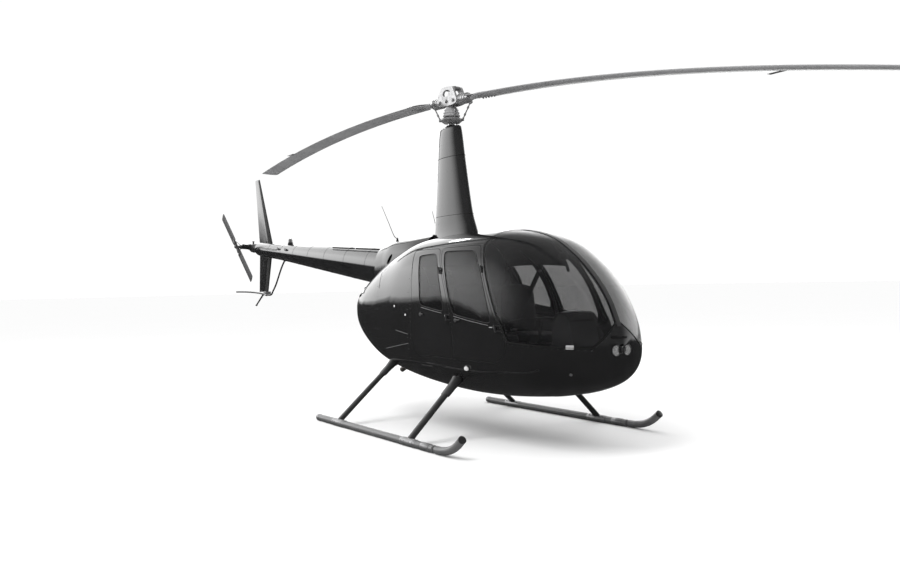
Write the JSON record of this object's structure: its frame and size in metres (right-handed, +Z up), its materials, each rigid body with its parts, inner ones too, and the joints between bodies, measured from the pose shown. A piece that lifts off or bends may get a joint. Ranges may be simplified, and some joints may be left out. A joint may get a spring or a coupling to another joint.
{
  "type": "helicopter",
  "caption": "Light four-seat helicopter on skids with a teetering two-blade main rotor, hinged cabin doors and a guarded tail rotor, parked.",
  "frame": {"origin": "on the ground at the middle of the whole machine, main rotor parked fore and aft; the mast stands 0.815 m ahead of it", "axes": "+X forward along the fuselage, +Y to port, +Z up; the skids stand on z = 0"},
  "size_m": [11.6714, 2.248, 3.425],
  "materials": {
    "body_black": "gloss black painted composite",
    "tail_black": "gloss black painted sheet",
    "tinted_glass": "tinted clear",
    "interior_black": "satin black",
    "seat_leather": "black leather",
    "engine_metal": "plain cast",
    "black_steel": "satin black",
    "grey_metal": "satin grey",
    "bare_steel": "machined",
    "blade_grey": "satin grey paint",
    "lamp_glass": "clear lens"
  },
  "bodies": {
    "airframe": {"aft_cowl": "body_black", "beacon_light": "lamp_glass", "cabin_floor": "interior_black", "cabin_shell": "body_black", "compass": "interior_black", "cyclic_stick": "black_steel", "engine_block": "engine_metal", "engine_cowl_left": "body_black", "engine_cowl_right": "body_black", "exhaust_pipe": "bare_steel", "fan_housing": "interior_black", "firewall": "interior_black", "front_cross_tube": "black_steel", "front_seat_left": "seat_leather", "front_seat_right": "seat_leather", "horizontal_stabilizer": "tail_black", "instrument_console": "interior_black", "landing_light_left": "lamp_glass", "landing_light_right": "lamp_glass", "lower_fin": "tail_black", "mast_fairing": "body_black", "position_light_left": "lamp_glass", "position_light_right": "lamp_glass", "rear_cross_tube": "black_steel", "rear_seat_left": "seat_leather", "rear_seat_right": "seat_leather", "roof_cowling": "body_black", "skid_left": "grey_metal", "skid_right": "grey_metal", "tail_cone": "tail_black", "tail_gearbox": "grey_metal", "tail_rotor_guard": "grey_metal", "tail_skid": "black_steel", "upper_cowling": "body_black", "upper_fin": "tail_black", "whip_antenna_left": "grey_metal", "whip_antenna_right": "grey_metal", "windshield_left": "tinted_glass", "windshield_right": "tinted_glass"},
    "main_rotor": {"rotor_mast": "bare_steel", "rotor_hub": "bare_steel", "swashplate": "black_steel", "main_blade_front": "blade_grey", "main_blade_rear": "blade_grey"},
    "tail_rotor": {"tail_rotor_hub": "bare_steel", "tail_blade_upper": "blade_grey", "tail_blade_lower": "blade_grey"},
    "door_front_right": {"front_door_right": "body_black", "front_window_right": "tinted_glass"},
    "door_front_left": {"front_door_left": "body_black", "front_window_left": "tinted_glass"},
    "door_rear_right": {"rear_door_right": "body_black", "rear_window_right": "tinted_glass"},
    "door_rear_left": {"rear_door_left": "body_black", "rear_window_left": "tinted_glass"}
  },
  "joints": [
    {"name": "main_rotor_turn", "type": "hinge", "parent": "airframe", "child": "main_rotor", "pos_m": [0.815, 0, 3], "axis": [0, 0, 1], "continuous": true},
    {"name": "tail_rotor_turn", "type": "hinge", "parent": "airframe", "child": "tail_rotor", "pos_m": [-5.071, -0.271, 2.058], "axis": [0, 1, 0], "continuous": true},
    {"name": "front_door_right_hinge", "type": "hinge", "parent": "airframe", "child": "door_front_right", "pos_m": [2.125, -0.569, 1.536], "axis": [-0.4733, 0.1084, 0.8742], "range_deg": [0, 75]},
    {"name": "front_door_left_hinge", "type": "hinge", "parent": "airframe", "child": "door_front_left", "pos_m": [2.125, 0.569, 1.536], "axis": [0.4733, 0.1084, -0.8742], "range_deg": [0, 75]},
    {"name": "rear_door_right_hinge", "type": "hinge", "parent": "airframe", "child": "door_rear_right", "pos_m": [1.487, -0.604, 1.539], "axis": [-0.4074, 0.1182, 0.9056], "range_deg": [0, 75]},
    {"name": "rear_door_left_hinge", "type": "hinge", "parent": "airframe", "child": "door_rear_left", "pos_m": [1.487, 0.604, 1.539], "axis": [0.4074, 0.1182, -0.9056], "range_deg": [0, 75]}
  ],
  "couplings": [
    {"joint": "tail_rotor_turn", "follows": "main_rotor_turn", "ratio": 5.95}
  ]
}
